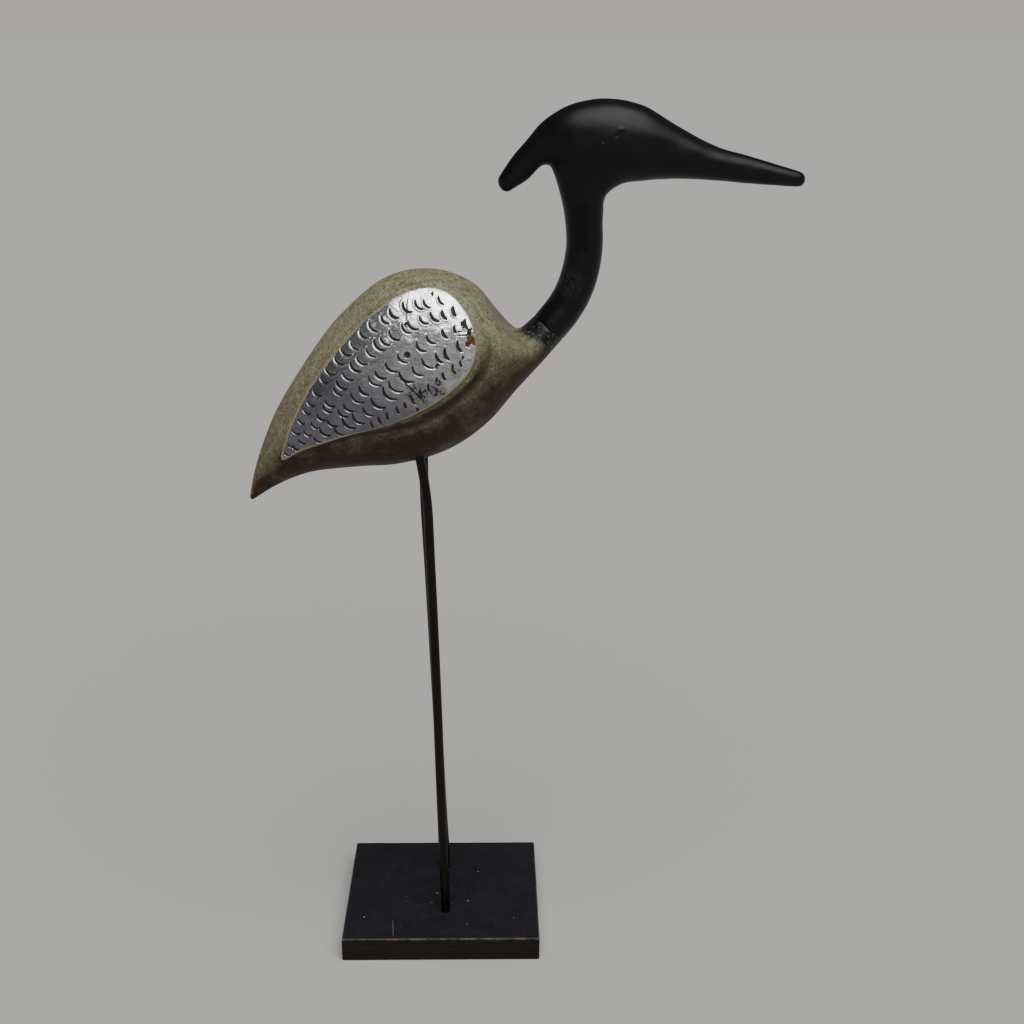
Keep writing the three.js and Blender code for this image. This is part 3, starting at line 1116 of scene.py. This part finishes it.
def body_coats(tree, place, blotches, dabs, bristles):
    """Green in blotches, dabs and strokes, darker in front as painted shade, and brown at the tail and
    below, where it is partly painted shade.
    """
    grit = add(tree, "TexNoise", {"Vector": place, "Scale": 1 / (GRIT * MM), "Detail": 3, "Roughness": 0.85})
    length = add(tree, "SeparateXYZ", {"Vector": place}, out="X")
    green = paint_over(tree, linear("615e46"), linear("88866d"), mask(tree, (blotches, 0.38, 0.64)))
    green = paint_over(tree, green, linear("9d997f"), mask(tree, (dabs, 0.45, 0.66)), 0.7)
    green = paint_over(tree, green, linear("443e29"), mask(tree, (bristles, 0.48, 0.72)), 0.5)
    green = paint_over(tree, green, linear("3f3a25"), mask(tree, (grit, 0.50, 0.60)), 0.85)
    # Painted shade: the front of the body, towards the breast, is painted a darker green.
    green = paint_over(tree, green, linear("55523c"), mask(tree, (length, *SHADED_FRONT_X)), 0.45)
    brown = paint_over(tree, linear("25150a"), linear("3a2610"), mask(tree, (dabs, 0.35, 0.70)))
    # Painted shade: where the surface faces down the colour turns brown, partly brown paint and partly
    # painted shade under the body.
    normal = add(tree, "NewGeometry", {}, out="Normal")
    facing = mask(tree, (add(tree, "SeparateXYZ", {"Vector": normal}, out="Z"), *UNDERSIDE_SHADE_NORMAL_Z))
    tail = mask(tree, (length, *TAIL_TIP_X))
    brown_and_underside_shade = add(tree, "Math", {0: tail, 1: TAIL_BROWN, 2: facing}, operation="MULTIPLY_ADD", use_clamp=True)
    ragged = add(tree, "MapRange", {"Value": blotches, "From Min": 0.34, "From Max": 0.66,
                                    "To Min": -0.34, "To Max": 0.34})
    brown_and_underside_shade = add(tree, "Math", {0: brown_and_underside_shade, 1: ragged}, operation="ADD", use_clamp=True)
    return paint_over(tree, green, brown, brown_and_underside_shade)


def valley_shade(tree, colour, blotches):
    """Painted shade in the gouged valley, where the gouge's layer is high."""
    gouge_and_shade = add(tree, "Attribute", {}, out="Fac", attribute_name="gouge_and_shade")
    patchy = add(tree, "MapRange", {"Value": blotches, "From Min": 0.35, "From Max": 0.60,
                                    "To Min": 0.25, "To Max": 0.85})
    # Painted shade: the gouge's valley is darkened to brown in patches.
    valley = add(tree, "Math", {0: mask(tree, (gouge_and_shade, 0.2, 0.9)), 1: patchy}, operation="MULTIPLY")
    return paint_over(tree, colour, linear("3a2c1a"), valley)


# %% Black brushed over the foot of the neck
# The black ends on a line round the neck. So it is measured from the middle of the joint along the neck,
# whose place and slope are those of the neck's first rib. Limits are in metres along or across the neck.
JOINT = (64.4 * MM, 0, 377.8 * MM)
NECK_TURN = math.radians(-49.7)
FRAY = 7
FRAY_REACH = 16 * MM
FLECK = 1.6
NECK_ONLY = (0.024, 0.017)


def neck_foot(tree, place, colour):
    """The colour with black beyond a ragged line and pale dry strokes beside it, and the black's share."""
    axes = add(tree, "Mapping", {"Vector": place, "Location": JOINT, "Rotation": (0, NECK_TURN, 0)},
               vector_type="TEXTURE")
    neck = add(tree, "SeparateXYZ", {"Vector": axes}, out=None)
    slant = add(tree, "MapRange", {"Value": neck["Z"], "From Min": -0.012, "From Max": 0.012,
                                   "To Min": -0.0022, "To Max": 0.0022})
    reach = add(tree, "Math", {0: slant, 1: neck["X"]}, operation="ADD")
    fray = add(tree, "TexNoise", {"Vector": place, "Scale": 1 / (FRAY * MM), "Detail": 5, "Roughness": 0.75})
    ragged = add(tree, "Math", {0: fray, 1: FRAY_REACH, 2: reach}, operation="MULTIPLY_ADD")
    black = mask(tree, (ragged, -0.0032, 0.0012), (neck["Z"], *NECK_ONLY))
    colour = paint_over(tree, colour, linear("070708"), black)
    flecks = add(tree, "TexNoise", {"Vector": place, "Scale": 1 / (FLECK * MM), "Detail": 3,
                                    "Roughness": 0.75})
    strokes = mask(tree, (neck["Z"], *NECK_ONLY), (ragged, -0.004, 0.0), (ragged, 0.010, 0.006),
                   (flecks, 0.58, 0.66))
    return paint_over(tree, colour, linear("9d9c93"), strokes, 0.4), black


# %% Body finish
BRUSH_RELIEF = 0.25 * MM
PAINT_IOR = 1.5


def body_paint():
    """Satin green paint, thin in places, with brush strokes that can be felt."""
    material, tree, place = new_finish("hand_brushed_green_paint_on_wood")
    blotches = add(tree, "TexNoise", {"Vector": place, "Scale": 1 / (BLOTCH * MM), "Detail": 5,
                                      "Roughness": 0.6})
    dabs = add(tree, "TexNoise", {"Vector": place, "Scale": 1 / (DAB * MM), "Detail": 4, "Roughness": 0.7})
    bristles = stretched(tree, place, *BRISTLES)
    colour = body_coats(tree, place, blotches, dabs, bristles)
    colour = valley_shade(tree, colour, blotches)
    colour, black = neck_foot(tree, place, colour)
    height = add(tree, "Mix", {0: 0.4, 2: bristles, 3: dabs})
    bump = add(tree, "Bump", {"Height": height, "Distance": BRUSH_RELIEF, "Strength": 1.0})
    dull = add(tree, "MapRange", {"Value": dabs, "From Min": 0.3, "From Max": 0.7, "To Min": 0.50,
                                  "To Max": 0.64})
    dull = add(tree, "Math", {0: black, 1: -0.14, 2: dull}, operation="MULTIPLY_ADD", use_clamp=True)
    set_surface(tree, {"Base Color": colour, "Roughness": dull, "Normal": bump, "IOR": PAINT_IOR,
                       "Specular IOR Level": 0.28})
    return material


body.data.materials.append(body_paint())
print("body finish:", len(body.active_material.node_tree.nodes), "nodes")

# %% [markdown]
# ## Black paint on the head and neck
# The head has a smooth coat of satin black, so its curves show only as soft streaks of sky. A few chips
# show the white ground near the eye, and the neck has a patch that was touched up with a darker, glossier
# black, and a worn spot below it.

# %% Head finish
CLOUD = 9
WOOD_GRAIN = (-60, 18, 0.9)
PAINT_CHIPS = [
    ((93.0, -14.4, 486.8), 0.9),
    ((92.2, -15.4, 482.3), 0.8),
    ((75.4, -10.2, 429.6), 0.7),
]
CHIP_SOFT = 0.6
CHIP_FRAY = 0.7
WORN_NECK = (75.0, -8.0, 404.0)
WORN_REACH = (10 * MM, 6 * MM)
PATCH_FRAY = 4
PATCH_FRAY_X = 12 * MM
PATCH_FRAY_Z = 10 * MM
PATCH_FRONT_X = (0.0918, 0.0910)
PATCH_LOW_Z = (0.4265, 0.4275)
PATCH_TOP_Z = (0.4530, 0.4520)
GRAIN_RELIEF = 0.12 * MM


def touched_up(tree, place, cloud):
    """The patch of newer black on the side of the neck. Noise pushes its limits to and fro."""
    side = add(tree, "SeparateXYZ", {"Vector": place}, out=None)
    rough = add(tree, "TexNoise", {"Vector": place, "Scale": 1 / (PATCH_FRAY * MM),
                                   "Detail": FINE_DETAIL, "Roughness": EVEN})
    x = add(tree, "Math", {0: cloud, 1: PATCH_FRAY_X, 2: side["X"]}, operation="MULTIPLY_ADD")
    z = add(tree, "Math", {0: rough, 1: PATCH_FRAY_Z, 2: side["Z"]}, operation="MULTIPLY_ADD")
    return mask(tree, (x, *PATCH_FRONT_X), (z, *PATCH_LOW_Z), (z, *PATCH_TOP_Z))


def chips_and_wear(tree, place, grain, colour):
    """The worn spot of the neck and the small pale chips."""
    away = add(tree, "VectorMath", {0: place, 1: Vector(WORN_NECK) * MM}, out="Value", operation="DISTANCE")
    colour = paint_over(tree, colour, linear("26262a"), mask(tree, (away, *WORN_REACH), (grain, 0.45, 0.60)),
                        0.7)
    ragged = add(tree, "TexNoise", {"Vector": place, "Scale": 1 / (CHIP_FRAY * MM), "Detail": 1,
                                    "Roughness": EVEN})
    for centre, radius in PAINT_CHIPS:
        away = add(tree, "VectorMath", {0: place, 1: Vector(centre) * MM}, out="Value", operation="DISTANCE")
        chip = mask(tree, (away, (radius + CHIP_SOFT) * MM, radius * MM), (ragged, 0.42, 0.54))
        colour = paint_over(tree, colour, linear("8f918f"), chip)
    return colour


def head_paint():
    """Satin black paint over sanded wood."""
    material, tree, place = new_finish("satin_black_paint_on_carved_wood")
    cloud = add(tree, "TexNoise", {"Vector": place, "Scale": 1 / (CLOUD * MM), "Detail": 4,
                                   "Roughness": EVEN})
    grain = stretched(tree, place, *WOOD_GRAIN)
    colour = paint_over(tree, linear("050405"), linear("0c0b0d"), mask(tree, (cloud, 0.35, 0.70)))
    patch = touched_up(tree, place, cloud)
    colour = paint_over(tree, colour, linear("010101"), patch)
    colour = chips_and_wear(tree, place, grain, colour)
    height = add(tree, "Mix", {0: 0.5, 2: grain, 3: cloud})
    bump = add(tree, "Bump", {"Height": height, "Distance": GRAIN_RELIEF, "Strength": 1.0})
    dull = add(tree, "MapRange", {"Value": cloud, "From Min": 0.3, "From Max": 0.7, "To Min": 0.34,
                                  "To Max": 0.42})
    dull = add(tree, "Math", {0: patch, 1: -0.2, 2: dull}, operation="MULTIPLY_ADD", use_clamp=True)
    set_surface(tree, {"Base Color": colour, "Roughness": dull, "Normal": bump, "IOR": PAINT_IOR,
                       "Specular IOR Level": 0.22})
    return material


head.data.materials.append(head_paint())
print("head finish:", len(head.active_material.node_tree.nodes), "nodes")

# %% [markdown]
# ## Black paint on the rods
# The rods were dipped or sprayed, so their paint is glossier than the wood's and shows thin bright lines
# along the bar. A little brown shows through it.

# %% Rod finish
WORN_SPOT = 5
DIP_RELIEF = 0.1 * MM


def rod_paint():
    """Gloss black paint on a steel bar."""
    material, tree, place = new_finish("gloss_black_paint_on_steel_rod")
    worn = add(tree, "TexNoise", {"Vector": place, "Scale": 1 / (WORN_SPOT * MM), "Detail": 4,
                                  "Roughness": 0.7})
    colour = paint_over(tree, linear("080403"), linear("170c08"), mask(tree, (worn, 0.45, 0.75)))
    bump = add(tree, "Bump", {"Height": worn, "Distance": DIP_RELIEF, "Strength": 1.0})
    gloss = add(tree, "MapRange", {"Value": worn, "From Min": 0.3, "From Max": 0.7, "To Min": 0.26,
                                   "To Max": 0.42})
    set_surface(tree, {"Base Color": colour, "Roughness": gloss, "Normal": bump, "IOR": PAINT_IOR,
                       "Specular IOR Level": 0.2})
    return material


rod_material = rod_paint()
for name in LEG_POINTS:
    bpy.data.objects["rod_" + name].data.materials.append(rod_material)
print("rod finish:", len(rod_material.node_tree.nodes), "nodes")

# %% [markdown]
# ## Black paint on the plinth
# The board is painted blue-black. Its top is a lighter, bluer black than its sides, a painted reflection
# of the sky. Its edges are rubbed down to brown wood, its sides are thinner in paint so the grain shows,
# and dust and a scratch lie on the top. Each of these is a mask of its own: the edge is where X or Y is
# near its limit, and the top is where Z is.

# %% Rubbed edges
BOARD_TOP_Z = (13.8 * MM, 14.6 * MM)
RUBBED_Z = (13.4 * MM, 14.2 * MM)
RUBBED_OUT = (59.0 * MM, 59.5 * MM)
RUB_SIZE = 6


def rubbed_edges(tree, place, parts, colour):
    """Brown wood along the board's upper edges, where the paint is rubbed through."""
    out = [add(tree, "Math", {0: parts[axis]}, operation="ABSOLUTE") for axis in ("X", "Y")]
    rim = add(tree, "Math", {0: out[0], 1: out[1]}, operation="MAXIMUM")
    uneven = add(tree, "TexNoise", {"Vector": place, "Scale": 1 / (RUB_SIZE * MM), "Detail": 6,
                                    "Roughness": 0.8})
    rub = mask(tree, (rim, *RUBBED_OUT), (parts["Z"], *RUBBED_Z), (uneven, 0.40, 0.60))
    return paint_over(tree, colour, linear("5a5149"), rub, 0.7)


# %% Dust
# Dust is finer than a pixel, so a speck is drawn about half a millimetre wide. A Voronoi texture has one
# cell for each speck. Only the few cells whose random red is high get one, and a few more near the rods.
DUST_CELL = 3.2
DUST_CHOSEN = (0.955, 0.975)
FINE_DUST = 0.7
SPECK_CROWD = (-10, -12, 15)
CROWD_REACH = (20 * MM, 6 * MM)
CROWD_MORE = 0.16


def dusty(tree, place, parts, colour):
    """Pale specks and fine dust on the top of the board."""
    specks = add(tree, "TexVoronoi", {"Vector": place, "Scale": 1 / (DUST_CELL * MM), "Randomness": 1.0},
                 out=None)
    away = add(tree, "VectorMath", {0: place, 1: Vector(SPECK_CROWD) * MM}, out="Value",
               operation="DISTANCE")
    red = add(tree, "SeparateColor", {"Color": specks["Color"]}, out="Red")
    chosen = add(tree, "Math", {0: mask(tree, (away, *CROWD_REACH)), 1: CROWD_MORE, 2: red},
                 operation="MULTIPLY_ADD", use_clamp=True)
    dust = mask(tree, (specks["Distance"], 0.17, 0.07), (chosen, *DUST_CHOSEN), (parts["Z"], *BOARD_TOP_Z))
    colour = paint_over(tree, colour, linear("b9bcc2"), dust, 0.75)
    fine = add(tree, "TexNoise", {"Vector": place, "Scale": 1 / (FINE_DUST * MM), "Detail": FINE_DETAIL,
                                  "Roughness": EVEN})
    fine = mask(tree, (fine, 0.68, 0.74), (parts["Z"], *BOARD_TOP_Z))
    return paint_over(tree, colour, linear("8a8d94"), fine, 0.35)


# %% Scratch
SCRATCH_START = (-30.2, -37.5)
SCRATCH_END = (-28.8, -57.5)
SCRATCH_HALF_WIDTH = 0.22 * MM
SCRATCH_NEAR_Y = (-56.5 * MM, -55.0 * MM)
SCRATCH_FAR_Y = (-37.5 * MM, -40.0 * MM)


def scratched(tree, parts, colour):
    """One pale scratch across the top: the points whose X is near that of a slanting line."""
    slope = (SCRATCH_END[0] - SCRATCH_START[0]) / (SCRATCH_END[1] - SCRATCH_START[1])
    centre = (SCRATCH_START[0] - slope * SCRATCH_START[1]) * MM
    line = add(tree, "Math", {0: parts["Y"], 1: -slope, 2: parts["X"]}, operation="MULTIPLY_ADD")
    on_line = add(tree, "Math", {0: line, 1: centre, 2: SCRATCH_HALF_WIDTH}, operation="COMPARE")
    scratch = mask(tree, (on_line, 0, 1), (parts["Y"], *SCRATCH_NEAR_Y), (parts["Y"], *SCRATCH_FAR_Y),
                   (parts["Z"], *BOARD_TOP_Z))
    return paint_over(tree, colour, linear("6d6f75"), scratch, 0.5)


# %% Plinth finish
BOARD_CLOUD = 14
BOARD_GRAIN = 1.3
GRAIN_STRETCH = 0.05
BOARD_RELIEF = 0.15 * MM


def plinth_paint():
    """Satin black paint on a board, thin at its sides and rubbed at its edges, with a painted sky reflection
    on its top.
    """
    material, tree, place = new_finish("satin_black_paint_on_board")
    cloud = add(tree, "TexNoise", {"Vector": place, "Scale": 1 / (BOARD_CLOUD * MM), "Detail": 5,
                                   "Roughness": EVEN})
    drawn = add(tree, "Mapping", {"Vector": place, "Scale": (GRAIN_STRETCH, 1, 1)})
    grain = add(tree, "TexNoise", {"Vector": drawn, "Scale": 1 / (BOARD_GRAIN * MM), "Detail": 3,
                                   "Roughness": EVEN})
    parts = add(tree, "SeparateXYZ", {"Vector": place}, out=None)
    # Painted reflection: the top is painted a lighter, bluer black than the sides.
    top = paint_over(tree, linear("0f0d13"), linear("17151c"), mask(tree, (cloud, 0.3, 0.7)))
    sides = paint_over(tree, linear("090504"), linear("190f0c"), mask(tree, (grain, 0.40, 0.66)))
    colour = paint_over(tree, sides, top, mask(tree, (parts["Z"], *BOARD_TOP_Z)))
    colour = rubbed_edges(tree, place, parts, colour)
    colour = dusty(tree, place, parts, colour)
    colour = scratched(tree, parts, colour)
    height = add(tree, "Mix", {0: 0.5, 2: grain, 3: cloud})
    bump = add(tree, "Bump", {"Height": height, "Distance": BOARD_RELIEF, "Strength": 1.0})
    dull = add(tree, "MapRange", {"Value": cloud, "From Min": 0.3, "From Max": 0.7, "To Min": 0.50,
                                  "To Max": 0.62})
    set_surface(tree, {"Base Color": colour, "Roughness": dull, "Normal": bump, "IOR": PAINT_IOR,
                       "Specular IOR Level": 0.22})
    return material


board.data.materials.append(plinth_paint())
print("plinth finish:", len(board.active_material.node_tree.nodes), "nodes")

# %% [markdown]
# ## Embossed aluminium
# The wings are bare soft aluminium. A metal has no colour of its own below its mirror, so its base colour
# is the tint of its reflections, and here that tint carries painted light: nearly white high on the
# shoulder, a painted reflection of the light above, and greyer lower down and towards the tail, partly
# painted shade and partly tarnish. The paint in the punch marks, on the edge and on the torn spot is not
# metal, so those places lose their metallic value as well as their brightness. Real scratches are about a
# tenth of a millimetre wide, too fine to show, so they are drawn 0.6 mm wide.

# %% Bare metal
SMEAR = 7
SCUFF = 1.0
SCRATCHES = (-12, 9, 0.6)
SHOULDER_LEAN = 0.35
PAINTED_SHEEN_FROM = (0.328, 0.396)


def metal_tint_with_painted_sheen(tree, place, smears, scratches):
    """The tint of the metal, painted brighter high on the shoulder as a painted reflection, with smears and
    fine scratches.
    """
    parts = add(tree, "SeparateXYZ", {"Vector": place}, out=None)
    # Painted reflection: the tint goes from grey low down and towards the tail to white high on the
    # shoulder.
    sheen_place = add(tree, "Math", {0: parts["X"], 1: SHOULDER_LEAN, 2: parts["Z"]}, operation="MULTIPLY_ADD")
    metal = paint_over(tree, linear("807d86"), linear("ffffff"), mask(tree, (sheen_place, *PAINTED_SHEEN_FROM)))
    metal = paint_over(tree, metal, linear("625f68"), mask(tree, (smears, 0.42, 0.70)), 0.6)
    return paint_over(tree, metal, linear("5b5861"), mask(tree, (scratches, 0.45, 0.65)), 0.5)


# %% Sheet finish
SMUDGE_BLACK = 0.7
INK_DULL = 0.7
SCRATCH_RELIEF = 0.15 * MM


def sheet_metal():
    """Bright metal where it is bare, and dull paint or rust where it is not."""
    material, tree, place = new_finish("embossed_soft_aluminium")
    smears = add(tree, "TexNoise", {"Vector": place, "Scale": 1 / (SMEAR * MM), "Detail": 5,
                                    "Roughness": 0.7})
    scuffs = add(tree, "TexNoise", {"Vector": place, "Scale": 1 / (SCUFF * MM), "Detail": 4,
                                    "Roughness": 0.8})
    scratches = stretched(tree, place, *SCRATCHES)
    metal = metal_tint_with_painted_sheen(tree, place, smears, scratches)
    ink, green, rust = (add(tree, "Attribute", {}, out="Fac", attribute_name=name)
                        for name in ("ink", "green", "rust"))
    smudge = mask(tree, (scuffs, 0.60, 0.70), (smears, 0.48, 0.66))
    smudge = add(tree, "Math", {0: smudge, 1: SMUDGE_BLACK}, operation="MULTIPLY")
    black = add(tree, "Math", {0: mask(tree, (ink, 0.15, 0.45)), 1: smudge}, operation="MAXIMUM")
    colour = paint_over(tree, metal, linear("040405"), black)
    rusty = paint_over(tree, linear("1c0f08"), linear("63391c"), mask(tree, (scuffs, 0.4, 0.6)))
    colour = paint_over(tree, colour, rusty, rust)
    colour = paint_over(tree, colour, linear("7d785a"), green)
    painted = add(tree, "Math", {0: rust, 1: green}, operation="MAXIMUM")
    painted = add(tree, "Math", {0: painted, 1: black}, operation="MAXIMUM")
    bare = add(tree, "Math", {0: 1.0, 1: painted}, operation="SUBTRACT", use_clamp=True)
    height = add(tree, "Mix", {0: 0.6, 2: scuffs, 3: scratches})
    bump = add(tree, "Bump", {"Height": height, "Distance": SCRATCH_RELIEF, "Strength": 1.0})
    polish = add(tree, "MapRange", {"Value": smears, "From Min": 0.3, "From Max": 0.7, "To Min": 0.17,
                                    "To Max": 0.33})
    inked = add(tree, "Math", {0: black, 1: INK_DULL}, operation="MULTIPLY")
    dull = add(tree, "Math", {0: polish, 1: inked}, operation="MAXIMUM")
    set_surface(tree, {"Base Color": colour, "Metallic": bare, "Roughness": dull, "Normal": bump})
    return material


metal_material = sheet_metal()
for sheet in sheets.values():
    sheet.data.materials.append(metal_material)
print("sheet finish:", len(metal_material.node_tree.nodes), "nodes")

# %% [markdown]
# ## Floor, sky and light
# The stage is plain: a pale floor, a pale sky and one large soft light above and in front of the bird, so
# the upper side of every form is bright and the underside falls away. The sky is dim overhead, where the
# light hangs, and as pale as the floor where it meets the floor.

# %% Floor
FLOOR_SIZE = 160
floor_bm = bmesh.new()
bmesh.ops.create_grid(floor_bm, x_segments=1, y_segments=1, size=FLOOR_SIZE / 2)
floor = finish_mesh(floor_bm, "floor")
floor_material, floor_tree, _ = new_finish("pale_floor")
set_surface(floor_tree, {"Base Color": linear("aaa9a7"), "Roughness": 0.9, "Specular IOR Level": 0.1})
floor.data.materials.append(floor_material)
print("floor", FLOOR_SIZE, "metres wide")

# %% Sky
HORIZON_STRENGTH = 0.60
OVERHEAD_STRENGTH = 0.16
HAZE_Z = (0.06, 0.30)
world = bpy.data.worlds.new("pale_sky")
bpy.context.scene.world = world
world.use_nodes = True
sky = world.node_tree
direction = add(sky, "TexCoord", {}, out="Generated")
elevation = add(sky, "SeparateXYZ", {"Vector": direction}, out="Z")
strength = add(sky, "MapRange", {"Value": elevation, "From Min": HAZE_Z[0], "From Max": HAZE_Z[1],
                                 "To Min": HORIZON_STRENGTH, "To Max": OVERHEAD_STRENGTH})
background = sky.nodes["Background"]
background.inputs["Color"].default_value = linear("eae7e3")
sky.links.new(strength, background.inputs["Strength"])
print("sky", HORIZON_STRENGTH, "at the horizon,", OVERHEAD_STRENGTH, "overhead")

# %% Light
# A sun whose disc is very wide is a soft ceiling of light, and it is as bright over the whole floor.
LIGHT_WIDTH = math.radians(60)
LIGHT_STRENGTH = 4.1
LEAN_FORWARD = math.radians(30)
LEAN_TO_BEAK = math.radians(9)
soft_light = bpy.data.lights.new("soft_ceiling", "SUN")
soft_light.angle = LIGHT_WIDTH
soft_light.energy = LIGHT_STRENGTH
ceiling = bpy.data.objects.new("soft_ceiling", soft_light)
bpy.context.scene.collection.objects.link(ceiling)
ceiling.matrix_world = Euler((LEAN_FORWARD, LEAN_TO_BEAK, 0)).to_matrix().to_4x4()
print("light", LIGHT_STRENGTH, "watts per square metre")
